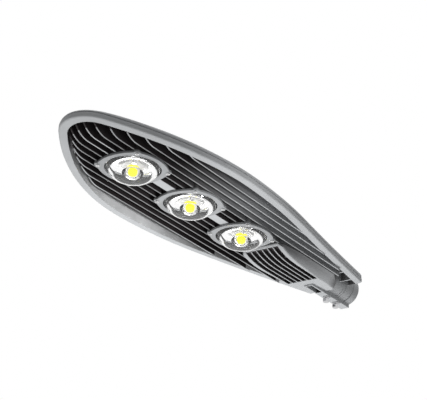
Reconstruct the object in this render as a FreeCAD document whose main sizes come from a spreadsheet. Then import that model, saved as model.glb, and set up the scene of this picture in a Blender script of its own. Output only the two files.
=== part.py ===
"""Pole-mounted street light head with three lens modules.

Frame: origin at the centre of the pole socket's mouth, on the bore axis. +X runs to the tip, +Z is up and the
light leaves towards -Z. Heights named "rise" are measured up from the outer face of the lens frames, which lies
face_depth below the bore axis. All sizes are millimetres.
"""
import FreeCAD, Part
import math
import os

import Sketcher
from FreeCAD import Placement, Rotation, Vector

doc = FreeCAD.newDocument("street_light_head")

# Driving dimensions: alias, value, meaning
SIZES = [
    ("face_depth", 25.0, "bore axis down to the outer face of the lens frames"),
    ("rim_end_x", 45.0, "pole end of the rim"),
    ("rim_end_half", 69.0, "half width of the rim at its pole end"),
    ("widest_x", 605.0, "station of the greatest width"),
    ("half_width", 153.2, "greatest half width"),
    ("tip_x", 923.5, "tip of the rim"),
    ("tip_side_radius", 470.0, "plan radius from the widest station to the tip"),
    ("neck_side_radius", 1150.0, "plan radius from the widest station to the neck"),
    ("keel_x", 645.0, "lowest station of the rim"),
    ("keel_rise", -1.0, "rise of the rim at its lowest station"),
    ("keel_tip_radius", 1750.0, "upward sweep of the rim towards the tip"),
    ("keel_pole_radius", 10000.0, "upward sweep of the rim towards the pole"),
    ("rim_band", 15.5, "width of the rim's underside"),
    ("rim_depth", 8.5, "height of the rim's outer band"),
    ("rim_round", 3.5, "round of the rim's outer lower edge"),
    ("rim_end_round", 9.0, "round of the rim's corners at the pole end"),
    ("shell_step", 0.8, "shell set back from the rim's outer face"),
    ("seam_groove", 1.8, "height of the shadow groove between rim and shell"),
    ("seam_groove_depth", 2.6, "depth of that groove from the shell's face"),
    ("shoulder_rise", 15.5, "shell edge above the rim's underside"),
    ("crown_fullness", 0.8, "roundness added to the shell's section near its edges"),
    ("shoulder_round", 5.0, "round of the shell's shoulder"),
    ("shell_wall", 4.0, "shell thickness over the fins and the driver bay"),
    ("crown_pole", 61.5, "rise of the shell's ridge at the pole end"),
    ("crown_bay", 60.0, "rise of the ridge over the driver bay"),
    ("crown_mid", 52.0, "rise of the ridge at the middle module"),
    ("crown_front", 46.0, "rise of the ridge ahead of the first module"),
    ("fin_pitch", 16.88, "distance between cooling fins"),
    ("fin_count", 14, "number of cooling fins"),
    ("fin_wall", 2.6, "fin thickness"),
    ("fin_rise", 5.0, "rise of the fin crests"),
    ("fin_sweep_radius", 45.0, "radius of the crests' upward sweep at the tip"),
    ("fin_sweep_run", 42.0, "length of that sweep"),
    ("recess_end_x", 133.0, "pole end of the finned recess"),
    ("web_wall", 4.0, "webs beside the socket"),
    ("web_x", 81.0, "web between the two pockets beside the socket"),
    ("module_pitch", 171.0, "distance between lens modules"),
    ("module_x", 585.0, "station of the middle module"),
    ("screw_half", 44.0, "half of the screw square of a module"),
    ("frame_bow", 59.5, "half width of a lens frame at the middle of its sides"),
    ("cushion_radius", 82.0, "radius of the frame's bowed sides"),
    ("frame_wall", 4.0, "lens frame thickness"),
    ("frame_ear", 6.0, "radius of a lens frame's screw ears"),
    ("seat_inset", 1.2, "module seat set back from the frame's outline"),
    ("lens_window", 50.5, "radius of the window in a lens frame"),
    ("lens_gap", 0.5, "clearance between lens and window"),
    ("lens_dome", 45.3, "radius of the lens's bulge"),
    ("lens_flange", 54.0, "radius of the lens flange"),
    ("lens_flange_wall", 3.0, "thickness of the lens flange"),
    ("lens_drop", 22.0, "bulge of the lens below the frame's face"),
    ("lens_cavity", 16.0, "radius of the lens's round cavity, centred on the light-emitting patch"),
    ("lens_relief", 24.5, "radius of the flat relief in the lens's back"),
    ("lens_relief_depth", 2.0, "depth of that relief"),
    ("gasket_wall", 1.5, "thickness of the seals"),
    ("gasket_width", 4.0, "width of a lens seal"),
    ("pocket_radius", 49.5, "radius of the module pocket"),
    ("pocket_rise", 8.5, "rise of the module pocket's floor"),
    ("seat_height", 18.0, "height of the block behind a lens frame"),
    ("board_half", 18.0, "half side of an LED board"),
    ("board_wall", 3.0, "LED board thickness"),
    ("board_screw_half", 14.0, "half distance of the board's screws"),
    ("patch_radius", 11.0, "radius of the light-emitting patch"),
    ("patch_wall", 1.0, "thickness of the light-emitting patch"),
    ("tray_inner", 26.3, "inner radius of the reflector tray"),
    ("tray_collar", 1.2, "height of the reflector's inner collar"),
    ("tray_outer", 48.0, "outer radius of the reflector tray"),
    ("tray_wall", 0.8, "reflector tray thickness"),
    ("screw_radius", 2.0, "radius of the small screws"),
    ("screw_head_radius", 3.6, "head radius of the small screws"),
    ("screw_head_wall", 2.6, "head height of the small screws"),
    ("screw_length", 12.0, "shank length of the small screws"),
    ("cover_screw_length", 20.0, "shank length of the cover screws"),
    ("screw_socket", 1.6, "hexagon radius in the small screws' heads"),
    ("screw_fit", 0.1, "radial clearance of a screw in its tapped hole"),
    ("screw_pass", 0.4, "radial clearance of a screw in a passing hole"),
    ("duct_wall", 3.0, "thickness of the wire duct's floor"),
    ("lead_radius", 1.2, "radius of a lead"),
    ("lead_fit", 0.45, "radial clearance of a lead in its hole"),
    ("seam_rise", 6.0, "rise of the driver bay's lower edge"),
    ("bay_wall", 4.0, "wall of the driver bay"),
    ("bay_end_x", 102.0, "pole end of the driver bay and its cover"),
    ("bay_shoulder_x", 148.0, "where the bay starts to narrow towards the socket"),
    ("bay_flank_x", 285.0, "where the bay reaches its full width"),
    ("bay_cheek_x", 334.0, "rounded corner of the bay's front"),
    ("bay_front_x", 349.0, "front of the driver bay"),
    ("bay_end_half", 36.0, "half width of the bay at the socket"),
    ("bay_shoulder_half", 57.0, "half width of the bay at its shoulder"),
    ("bay_flank_half", 55.5, "half width of the bay at its flank"),
    ("bay_cheek_half", 50.0, "half width of the bay at its cheek"),
    ("bay_front_half", 38.0, "half width of the bay at its front"),
    ("foot_end_half", 28.0, "half width of the cover's underside at the socket"),
    ("foot_shoulder_half", 35.0, "half width of the underside at the shoulder"),
    ("foot_flank_half", 44.5, "half width of the underside at the flank"),
    ("foot_cheek_half", 44.5, "half width of the underside at the cheek"),
    ("foot_front_half", 37.0, "half width of the underside at the front"),
    ("cover_drop", 13.2, "cover's underside below the lens frame face"),
    ("cover_chin_drop", 10.0, "underside below the frame face at the socket"),
    ("cover_nose_x", 264.0, "where the cover's curved nose ends"),
    ("cover_nose_rise", 11.0, "rise of the middle of the nose's ellipse"),
    ("cover_slot_depth", 9.0, "depth of the cover's cooling slots"),
    ("cover_wall", 3.0, "wall between the slots and the cover's inside"),
    ("cover_edge_round", 4.0, "round along the cover's lower edges"),
    ("cover_slots", 6, "number of cooling slots in the cover"),
    ("cover_slot_front_half", 38.0, "half width of the slotted field at the front"),
    ("cover_slot_back_half", 35.5, "half width of the slotted field at the back"),
    ("cover_slot_back_x", 181.0, "pole end of the slots"),
    ("cover_rib", 2.2, "thickness of the cover's ribs"),
    ("cover_screw_x", 298.0, "station of the two front cover screws"),
    ("cover_screw_back_x", 136.0, "station of the rear cover screw"),
    ("post_radius", 4.6, "radius of the screw posts"),
    ("bar_half", 10.0, "half width of the boss bar under the socket"),
    ("bar_drop", 15.5, "boss bar's underside below the lens frame face"),
    ("bar_front_x", 158.0, "front end of the boss bar on the cover"),
    ("bar_pocket_half", 6.8, "half width of the pocket in the boss bar"),
    ("bar_pocket_x", 112.0, "pole end of the pocket in the boss bar"),
    ("bore_radius", 30.25, "radius of the pole socket's bore"),
    ("bore_length", 89.0, "depth of the pole socket"),
    ("gland_room_radius", 24.0, "room for the gland behind the pole's stop"),
    ("gland_seat_x", 100.0, "face that the cable gland seats on"),
    ("socket_radius", 33.2, "outer radius of the socket"),
    ("collar_step", 0.8, "step of the socket's outer collars"),
    ("collar_mid_x", 58.0, "first collar of the socket"),
    ("collar_mouth_x", 24.0, "mouth collar of the socket"),
    ("groove_wall", 2.4, "width of the grooves between the collars"),
    ("pole_bolt_x", 42.0, "station of the outer pole bolt"),
    ("pole_bolt_pitch", 41.0, "distance between the pole bolts"),
    ("pole_bolt_radius", 4.0, "radius of a pole bolt"),
    ("pole_bolt_hex", 7.5, "corner radius of the pole bolt's head and nut"),
    ("pole_nut_wall", 3.4, "thickness of a lock nut"),
    ("pole_head_wall", 7.4, "height of a pole bolt's head"),
    ("pole_head_gap", 1.4, "free shank between lock nut and head"),
    ("pole_bolt_stop", 0.4, "bolt tip short of the bore"),
    ("gland_radius", 8.0, "thread radius of the cable gland"),
    ("gland_hex", 11.5, "corner radius of the gland's hexagons"),
    ("gland_body", 7.0, "length of the gland's hexagon body"),
    ("gland_cap", 3.6, "length of the gland's domed cap"),
    ("gland_nut_wall", 4.0, "thickness of the gland's nut"),
    ("gland_hole", 4.5, "cable hole of the gland"),
    ("driver_front_x", 292.0, "front of the driver"),
    ("driver_length", 143.0, "length of the driver's case"),
    ("driver_half", 25.0, "half width of the driver's case"),
    ("driver_rise", 8.0, "rise of the driver's lower face"),
    ("driver_height", 34.0, "height of the driver's case"),
    ("driver_round", 3.0, "round of the driver's long edges"),
    ("driver_tab", 9.0, "length of the driver's fixing tabs"),
    ("driver_tab_wall", 2.0, "thickness of the driver's fixing tabs"),
    ("driver_tab_y", 16.0, "side offset of the driver's screws"),
    ("terminal_length", 12.0, "terminal block along X"),
    ("terminal_width", 22.0, "terminal block along Y"),
    ("terminal_height", 15.0, "terminal block height"),
    ("terminal_x", 116.0, "station of the terminal block"),
    ("terminal_y", 22.0, "side offset of the terminal block"),
    ("terminal_rise", 25.0, "rise of the terminal block's lower face"),
    ("earth_x", 124.0, "station of the earth screw"),
    ("earth_y", -24.0, "side offset of the earth screw"),
    ("earth_rise", 36.0, "rise of the earth screw's post"),
    ("flush", 0.3, "gap where two pieces lie close without touching"),
]

sheet = doc.addObject("Spreadsheet::Sheet", "sizes")
for row, (alias, value, meaning) in enumerate(SIZES, start=1):
    sheet.set(f"A{row}", meaning)
    sheet.set(f"B{row}", str(value))
    sheet.setAlias(f"B{row}", alias)
doc.recompute()


def mm(alias):
    """The value of one driving dimension."""
    return float(sheet.get(alias))


def cell(alias):
    """The same dimension as an expression, for properties bound to the sheet."""
    return "sizes." + alias


FACE = -mm("face_depth")
SIDES = (1, -1)
MODULES = (1, 0, -1)
LOW = FACE - 60
HIGH = FACE + 120


def rise(alias):
    """Height in the part's frame of something measured up from the lens frames' face."""
    return FACE + mm(alias)


# Plan outline: straight neck, two tangent side arcs and a round nose
RUN = mm("tip_x") - mm("widest_x")
SIDE_CENTRE = Vector(mm("widest_x"), mm("half_width") - mm("tip_side_radius"), 0)
NECK_CENTRE = Vector(mm("widest_x"), mm("half_width") - mm("neck_side_radius"), 0)
NOSE_RADIUS = (mm("tip_side_radius") ** 2 - RUN**2 - SIDE_CENTRE.y**2) / (2 * (mm("tip_side_radius") - RUN))
NOSE_CENTRE = Vector(mm("tip_x") - NOSE_RADIUS, 0, 0)
NOSE_ANGLE = math.atan2(-SIDE_CENTRE.y, NOSE_CENTRE.x - SIDE_CENTRE.x)
NECK_REACH = Vector(mm("widest_x") - mm("rim_end_x"), mm("rim_end_half") - NECK_CENTRE.y, 0)
NECK_TURN = math.atan2(NECK_REACH.x, NECK_REACH.y) - math.acos(mm("neck_side_radius") / NECK_REACH.Length)


def half_width(x, inset=0.0):
    """Half width of the plan outline at station x, moved inwards by inset."""
    nose_start = NOSE_CENTRE.x + (NOSE_RADIUS - inset) * math.cos(NOSE_ANGLE)
    neck_start = NECK_CENTRE.x - (mm("neck_side_radius") - inset) * math.sin(NECK_TURN)
    if x > nose_start:
        return math.sqrt(max((NOSE_RADIUS - inset) ** 2 - (x - NOSE_CENTRE.x) ** 2, 0.0))
    if x > mm("widest_x"):
        return SIDE_CENTRE.y + math.sqrt((mm("tip_side_radius") - inset) ** 2 - (x - SIDE_CENTRE.x) ** 2)
    if x > neck_start:
        return NECK_CENTRE.y + math.sqrt((mm("neck_side_radius") - inset) ** 2 - (x - NECK_CENTRE.x) ** 2)
    along = mm("neck_side_radius") - inset + (x - NECK_CENTRE.x) * math.sin(NECK_TURN)
    return NECK_CENTRE.y + along / math.cos(NECK_TURN)


def tip_station(y, inset=0.0):
    """Station at which the tip side of the outline reaches the side offset y."""
    join = (NOSE_RADIUS - inset) * math.sin(NOSE_ANGLE)
    if abs(y) < join:
        return NOSE_CENTRE.x + math.sqrt((NOSE_RADIUS - inset) ** 2 - y * y)
    return SIDE_CENTRE.x + math.sqrt((mm("tip_side_radius") - inset) ** 2 - (abs(y) - SIDE_CENTRE.y) ** 2)


def arc(centre, radius, start, end):
    """Arc about centre in the XY plane, angles in radians."""
    at = [centre + Vector(radius * math.cos(a), radius * math.sin(a), 0) for a in (start, (start + end) / 2, end)]
    return Part.Arc(*at).toShape()


def plan_prism(inset, start_x, low=LOW, high=HIGH):
    """Upright solid inside the plan outline moved inwards by inset, from station start_x to the tip."""
    upright = math.pi / 2
    half = [
        Part.LineSegment(
            Vector(start_x, half_width(start_x, inset), 0),
            NECK_CENTRE + Vector(-math.sin(NECK_TURN), math.cos(NECK_TURN), 0) * (mm("neck_side_radius") - inset),
        ).toShape(),
        arc(NECK_CENTRE, mm("neck_side_radius") - inset, upright + NECK_TURN, upright),
        arc(SIDE_CENTRE, mm("tip_side_radius") - inset, upright, NOSE_ANGLE),
        arc(NOSE_CENTRE, NOSE_RADIUS - inset, NOSE_ANGLE, 0),
    ]
    mirrored = [edge.mirror(Vector(), Vector(0, 1, 0)) for edge in half]
    back = half_width(start_x, inset)
    closing = Part.LineSegment(Vector(start_x, back, 0), Vector(start_x, -back, 0)).toShape()
    wire = Part.Wire(Part.__sortEdges__(half + mirrored + [closing]))
    face = Part.Face(wire)
    face.translate(Vector(0, 0, low))
    return face.extrude(Vector(0, 0, high - low))


def rounded_end(solid):
    """The prism with its two upright corners at the pole end rounded."""
    corners = edges_between(solid, lambda p: p.x < mm("rim_end_x") + 1 and abs(p.y) > mm("rim_end_half") / 2)
    upright = [e for e in corners if abs(e.tangentAt(e.FirstParameter).z) > 0.9]
    return solid.makeFillet(mm("rim_end_round"), upright)


def keel(x):
    """Rise of the rim's underside at station x: two large arcs that meet at the lowest station."""
    radius = mm("keel_tip_radius") if x > mm("keel_x") else mm("keel_pole_radius")
    return mm("keel_rise") + radius - math.sqrt(radius**2 - (x - mm("keel_x")) ** 2)


def keel_slab(offset, depth):
    """Solid above the rim's underside moved up by offset, depth thick, as wide as the whole part."""
    reach = mm("tip_x") + 20
    low_tip = Vector(mm("keel_x"), 0, FACE + mm("keel_rise") + offset)

    def sweep(x, lift):
        return Vector(x, 0, FACE + keel(x) + offset + lift)

    def curve(lift):
        up = Vector(0, 0, lift)
        pole = Part.Arc(sweep(-20, lift), sweep((mm("keel_x") - 20) / 2, lift), low_tip + up).toShape()
        tip = Part.Arc(low_tip + up, sweep((mm("keel_x") + reach) / 2, lift), sweep(reach, lift)).toShape()
        return [pole, tip]

    ends = [Part.LineSegment(sweep(x, 0), sweep(x, depth)).toShape() for x in (-20, reach)]
    wire = Part.Wire(Part.__sortEdges__(curve(0) + curve(depth) + ends))
    face = Part.Face(wire)
    face.translate(Vector(0, -2 * mm("half_width"), 0))
    return face.extrude(Vector(0, 4 * mm("half_width"), 0))


# Crown of the shell: ridge heights joined by a smooth curve, arched across between the two edges
CROWN_STATIONS = (
    (mm("rim_end_x") - 30, mm("crown_pole")),
    (mm("bay_flank_x") - 60, mm("crown_bay")),
    (mm("module_x"), mm("crown_mid")),
    (mm("module_x") + 1.17 * mm("module_pitch"), mm("crown_front")),
)


def ridge(x):
    """Rise of the shell's ridge: a cubic through the four crown stations."""
    total = 0.0
    for i, (xi, zi) in enumerate(CROWN_STATIONS):
        weight = 1.0
        for j, (xj, _) in enumerate(CROWN_STATIONS):
            if i != j:
                weight *= (x - xj) / (xi - xj)
        total += weight * zi
    return total


def crown(x, y):
    """Rise of the shell at a point: a full arch from edge to edge that rounds over at the nose."""
    front_x, front_rise = CROWN_STATIONS[-1]
    edge = keel(x) + mm("shoulder_rise")
    if x > front_x:
        across = half_width(front_x) ** 2
        wide = half_width(x) ** 2
        if x > NOSE_CENTRE.x + NOSE_RADIUS * math.cos(NOSE_ANGLE):
            wide = NOSE_RADIUS**2 - (x - NOSE_CENTRE.x) ** 2
        height = front_rise - keel(front_x) - mm("shoulder_rise")
    else:
        across = wide = half_width(x) ** 2
        height = ridge(x) - edge
    full = 1 + mm("crown_fullness") * min(y * y / across, 1.2)
    return edge + height * (wide - y * y) / across * full


def under_crown(lower):
    """Solid below the shell's surface moved down by lower."""
    start, end, stations, across = mm("rim_end_x") - 20, mm("tip_x") + 8, 15, 9
    grid = []
    for i in range(stations):
        x = start + (end - start) * i / (stations - 1)
        reach = 1.06 * max(half_width(x), NOSE_RADIUS)
        ys = [reach * (2 * j / (across - 1) - 1) for j in range(across)]
        grid.append([Vector(x, y, FACE + crown(x, y) - lower) for y in ys])
    surface = Part.BSplineSurface()
    surface.interpolate(grid)
    solid = surface.toShape().extrude(Vector(0, 0, -200))
    if solid.Volume < 0:
        solid.reverse()
    return solid


def box(x0, x1, y0, y1, z0, z1):
    """Box between two corners."""
    return Part.makeBox(x1 - x0, y1 - y0, z1 - z0, Vector(x0, y0, z0))


def rod_x(radius, x0, x1, y=0.0, z=0.0):
    """Cylinder along X."""
    return Part.makeCylinder(radius, x1 - x0, Vector(x0, y, z), Vector(1, 0, 0))


def rod_z(radius, x, y, z0, z1):
    """Cylinder along Z."""
    return Part.makeCylinder(radius, z1 - z0, Vector(x, y, z0))


def edges_between(shape, test):
    """Edges whose middle point passes the test."""
    return [e for e in shape.Edges if test(e.valueAt((e.FirstParameter + e.LastParameter) / 2))]


def polygon_prism(points, z0, z1):
    """Upright prism over a closed list of plan points."""
    wire = Part.makePolygon([Vector(x, y, z0) for x, y in points] + [Vector(*points[0], z0)])
    return Part.Face(wire).extrude(Vector(0, 0, z1 - z0))


# Driver bay and its cover share this outline
def bay_outline(prefix, inset=0.0):
    """Closed plan outline of the bay ("bay") or of the cover's underside ("foot"), moved inwards by inset."""
    names = ("front", "cheek", "flank", "shoulder", "end")
    ends = {"front": -inset, "end": 0.0}
    half = [(mm(f"bay_{n}_x") + ends.get(n, 0.0), mm(f"{prefix}_{n}_half") - inset) for n in names]
    return half + [(x, -y) for x, y in reversed(half)]


def module_x(index):
    """Station of a module: 1 nearest the tip, -1 nearest the pole."""
    return mm("module_x") + index * mm("module_pitch")


def cushion_face(x, half, bow, z):
    """Square with bowed sides: corners at half, middles of the sides at bow."""
    edges = []
    corners = [(half, half), (-half, half), (-half, -half), (half, -half)]
    middles = [(0, bow), (-bow, 0), (0, -bow), (bow, 0)]
    for k, middle in enumerate(middles):
        a, b = corners[k], corners[(k + 1) % 4]
        edges.append(Part.Arc(*[Vector(x + u, v, z) for u, v in (a, middle, b)]).toShape())
    return Part.Face(Part.Wire(edges))


def fin_offsets():
    """Side offsets of the cooling fins, symmetric about the middle."""
    count = int(mm("fin_count"))
    return [(k - (count - 1) / 2) * mm("fin_pitch") for k in range(count)]


def fin_plate(y):
    """One fin as a plate: flat crest that sweeps up ahead of the inner wall at the tip."""
    end = tip_station(y, mm("rim_band")) + 2
    run, radius, crest = mm("fin_sweep_run"), mm("fin_sweep_radius"), rise("fin_rise")
    start = end - run

    def on_sweep(part):
        return Vector(start + run * part, 0, crest + radius - math.sqrt(radius**2 - (run * part) ** 2))

    corners = [on_sweep(1), Vector(end, 0, HIGH), Vector(mm("bay_end_x"), 0, HIGH), Vector(mm("bay_end_x"), 0, crest)]
    edges = [Part.Arc(on_sweep(0), on_sweep(0.55), on_sweep(1)).toShape()]
    for a, b in zip(corners, corners[1:] + [on_sweep(0)]):
        edges.append(Part.LineSegment(a, b).toShape())
    face = Part.Face(Part.Wire(edges))
    face.translate(Vector(0, y - mm("fin_wall") / 2, 0))
    return face.extrude(Vector(0, mm("fin_wall"), 0))


def module_seat(x):
    """Block that one lens frame seats on, with its four screw columns."""
    low, tall = rise("frame_wall"), mm("seat_height")
    bow = mm("frame_bow") - mm("seat_inset")
    block = cushion_face(x, mm("screw_half") - mm("seat_inset"), bow, low).extrude(Vector(0, 0, tall))
    columns = [
        rod_z(mm("frame_ear") - mm("seat_inset") / 2, x + i * mm("screw_half"), j * mm("screw_half"), low, low + tall)
        for i in SIDES
        for j in SIDES
    ]
    return block.multiFuse(columns)


def wire_ducts():
    """Floors that close the gap between the two middle fins, from module to module and on to the driver bay."""
    half = mm("fin_pitch") / 2 + mm("fin_wall") / 2
    low = rise("fin_rise")
    ends = [module_x(1), module_x(-1)]
    long = box(ends[1], ends[0], -half, half, low, low + mm("duct_wall"))
    short = box(mm("bay_front_x"), module_x(-1), -half, half, low, HIGH)
    return [long, short]


def posts():
    """Screw posts and pads that hang from the shell inside the driver bay: (solid, hole x, hole y, lower end)."""
    driver_top = rise("driver_rise") + mm("driver_height")
    made = []
    for y in SIDES:
        made.append((mm("cover_screw_x"), y * cover_slot_y(mm("cover_screw_x"), 2.5), rise("seam_rise")))
    made.append((mm("cover_screw_back_x"), 0.0, rise("seam_rise")))
    made.append((driver_tab_x(1), mm("driver_tab_y"), driver_top))
    made.append((driver_tab_x(-1), -mm("driver_tab_y"), driver_top))
    made.append((mm("earth_x"), mm("earth_y"), rise("earth_rise")))
    return made


def driver_tab_x(end):
    """Station of a driver screw: end 1 at the tip side, -1 at the pole side."""
    middle = mm("driver_front_x") - mm("driver_length") / 2
    return middle + end * (mm("driver_length") + mm("driver_tab")) / 2


def cover_slot_pitch(x):
    """Slot pitch of the cover at a station: the field narrows evenly towards the pole."""
    span = mm("bay_front_x") - mm("cover_slot_back_x")
    part = (mm("bay_front_x") - x) / span
    half = mm("cover_slot_front_half") + part * (mm("cover_slot_back_half") - mm("cover_slot_front_half"))
    return (2 * half + mm("cover_rib")) / mm("cover_slots")


def cover_slot_y(x, place):
    """Side offset of a place counted in slots from the middle."""
    return place * cover_slot_pitch(x)


def housing_shape():
    """The one casting: rim, shell, fins, seats, ducts, driver bay and pole socket."""
    rim_x = mm("rim_end_x")
    rim = rounded_end(plan_prism(0, rim_x)).common(keel_slab(0, mm("rim_depth")))
    lower = edges_between(rim, lambda p: p.x > rim_x + 1 and abs(p.z - FACE - keel(p.x)) < 0.3)
    rim = rim.makeFillet(mm("rim_round"), lower)
    inside_crown = under_crown(0)
    groove_top = mm("rim_depth") + mm("seam_groove")
    shell = rounded_end(plan_prism(mm("shell_step"), rim_x)).common(inside_crown).common(keel_slab(groove_top, 200))
    top = edges_between(shell, lambda p: p.x > rim_x + 1 and p.z > FACE + keel(p.x) + mm("shoulder_rise") - 2)
    shell = shell.makeFillet(mm("shoulder_round"), top)
    groove_inset = mm("shell_step") + mm("seam_groove_depth")
    core = rounded_end(plan_prism(groove_inset, rim_x)).common(inside_crown).common(keel_slab(2, groove_top))
    shell = shell.fuse(core)
    under_shell = under_crown(mm("shell_wall"))

    # What stands in the hollow: fins, seats, ducts and the bay's block
    block = polygon_prism(bay_outline("bay"), rise("seam_rise"), HIGH)
    under_bay = polygon_prism(bay_outline("bay"), LOW, rise("seam_rise"))
    seats = [module_seat(module_x(i)) for i in MODULES]
    fins = [fin_plate(y).cut(under_bay) for y in fin_offsets()]
    inner = block.multiFuse(seats + wire_ducts() + fins)
    hollow = plan_prism(mm("rim_band"), mm("recess_end_x")).common(under_shell).cut(inner)
    reach = plan_prism(mm("rim_band") - 1, mm("recess_end_x") - 1).common(under_crown(mm("shell_wall") / 2))

    # Socket tube with its collars, and the boss bar that carries the pole bolts
    tube = rod_x(mm("socket_radius"), 0, mm("bay_end_x"))
    for k, x in enumerate((mm("collar_mid_x"), mm("collar_mouth_x")), start=1):
        tube = tube.fuse(rod_x(mm("socket_radius") + k * mm("collar_step"), 0, x - mm("groove_wall")))
    bar = box(0, mm("bay_end_x"), -mm("bar_half"), mm("bar_half"), FACE - mm("bar_drop"), 0)
    solid = rim.fuse(shell).cut(hollow)
    solid = solid.multiFuse([inner.common(reach), block.common(under_crown(mm("shell_wall") / 2)), tube, bar])

    # Two pockets on each side of the socket, with a web between them
    wall = mm("web_wall")
    stretches = [(rim_x + wall, mm("web_x") - wall), (mm("web_x"), mm("recess_end_x") - wall)]
    beside = plan_prism(mm("rim_band"), rim_x).common(under_shell)
    guard = rod_x(mm("socket_radius"), 0, mm("bay_end_x")).multiFuse([block, bar])
    for x0, x1 in stretches:
        solid = solid.cut(beside.common(box(x0, x1, -200, 200, LOW, HIGH)).cut(guard))

    # Driver bay, with the posts that stay in it
    room = polygon_prism(bay_outline("bay", mm("bay_wall")), LOW, HIGH).common(under_shell)
    room = room.cut(box(0, mm("bay_end_x") + mm("bay_wall") / 2, -200, 200, LOW, HIGH))
    left = [rod_z(mm("post_radius"), x, y, z, HIGH) for x, y, z in posts()]
    pad_z = rise("terminal_rise") + mm("terminal_height")
    half_x, half_y = mm("terminal_length") / 2, mm("terminal_width") / 2
    left.append(
        box(
            mm("terminal_x") - half_x,
            mm("terminal_x") + half_x,
            mm("terminal_y") - half_y,
            mm("terminal_y") + half_y,
            pad_z,
            HIGH,
        )
    )
    solid = solid.cut(room.cut(left[0].multiFuse(left[1:])))

    # Bores, pockets and tapped holes
    holes = [rod_x(mm("bore_radius"), -1, mm("bore_length"))]
    holes.append(rod_x(mm("gland_room_radius"), 0, mm("gland_seat_x")))
    holes.append(rod_x(mm("gland_radius") + mm("flush"), 0, mm("bay_end_x") + 10))
    lead_z = rise("pocket_rise") + mm("lead_radius")
    holes.append(rod_x(mm("lead_radius") + mm("lead_fit"), mm("bay_front_x") - 10, module_x(1), 0, lead_z))
    tap = mm("screw_radius") + mm("screw_fit")
    for i in MODULES:
        x = module_x(i)
        holes.append(rod_z(mm("pocket_radius"), x, 0, FACE, rise("pocket_rise")))
        groove = mm("lens_flange") + mm("flush")
        holes.append(rod_z(groove, x, 0, FACE, rise("frame_wall") + mm("gasket_wall")))
        depth = mm("screw_length") + 1
        for sx in SIDES:
            for sy in SIDES:
                at = (x + sx * mm("screw_half"), sy * mm("screw_half"))
                holes.append(rod_z(tap, *at, FACE, FACE + depth))
            board = (x + sx * mm("board_screw_half"), sx * mm("board_screw_half"))
            holes.append(rod_z(tap, *board, FACE, rise("pocket_rise") + depth - mm("board_wall")))
    for x, y, z in posts():
        holes.append(rod_z(tap, x, y, z - 1, z + mm("screw_length")))
    for x in (mm("pole_bolt_x"), mm("pole_bolt_x") + mm("pole_bolt_pitch")):
        holes.append(rod_z(mm("pole_bolt_radius") + mm("screw_fit"), x, 0, LOW, 0))
    for x in (mm("collar_mid_x"), mm("collar_mouth_x")):
        ring = rod_x(mm("socket_radius") + 5, x - mm("groove_wall"), x)
        ring = ring.cut(rod_x(mm("socket_radius") - mm("collar_step"), x - 10, x + 10))
        holes.append(ring.cut(bar).cut(box(x - 10, x + 10, -200, 200, rise("rim_depth") + mm("keel_rise"), HIGH)))
    solid = solid.cut(holes[0].multiFuse(holes[1:]))
    return solid.removeSplitter()


def cover_profile(offset):
    """Side view of the cover moved inwards by offset, extruded across: elliptical nose, flat field and chin."""
    seam = rise("seam_rise") - mm("gasket_wall")
    bottom = FACE - mm("cover_drop") + offset
    centre = Vector(mm("cover_nose_x"), 0, rise("cover_nose_rise"))
    along = mm("bay_front_x") - mm("cover_nose_x") - offset
    down = centre.z - bottom
    top = seam + 5
    nose = Part.Ellipse(centre + Vector(along, 0, 0), centre - Vector(0, 0, down), centre)
    curve = Part.ArcOfEllipse(nose, math.asin((centre.z - top) / down), math.pi / 2)
    end_x = mm("bay_end_x") - 1
    corners = [
        Vector(mm("cover_nose_x"), 0, bottom),
        Vector(mm("cover_slot_back_x"), 0, bottom),
        Vector(end_x, 0, FACE - mm("cover_chin_drop") + offset),
        Vector(end_x, 0, top),
        curve.value(curve.FirstParameter),
    ]
    edges = [curve.toShape()]
    edges += [Part.LineSegment(a, b).toShape() for a, b in zip(corners, corners[1:])]
    face = Part.Face(Part.Wire(edges))
    face.translate(Vector(0, -100, 0))
    return face.extrude(Vector(0, 200, 0))


def tapered_bay(inset, top, end_gap):
    """Solid whose outline shrinks from the bay's edge at the seam to the cover's foot."""
    seam = rise("seam_rise") - mm("gasket_wall")
    bottom = FACE - mm("cover_drop")
    rings = []
    for z in (top, bottom - 10):
        part = (seam - z) / (seam - bottom)
        points = []
        for (x, y), (_, foot) in zip(bay_outline("bay", inset), bay_outline("foot", inset)):
            if x <= mm("bay_end_x"):
                x = mm("bay_end_x") + end_gap
            points.append(Vector(x, y + (foot - y) * part, z))
        rings.append(Part.makePolygon(points + [points[0]]))
    return Part.makeLoft(rings, True, True)


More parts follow.
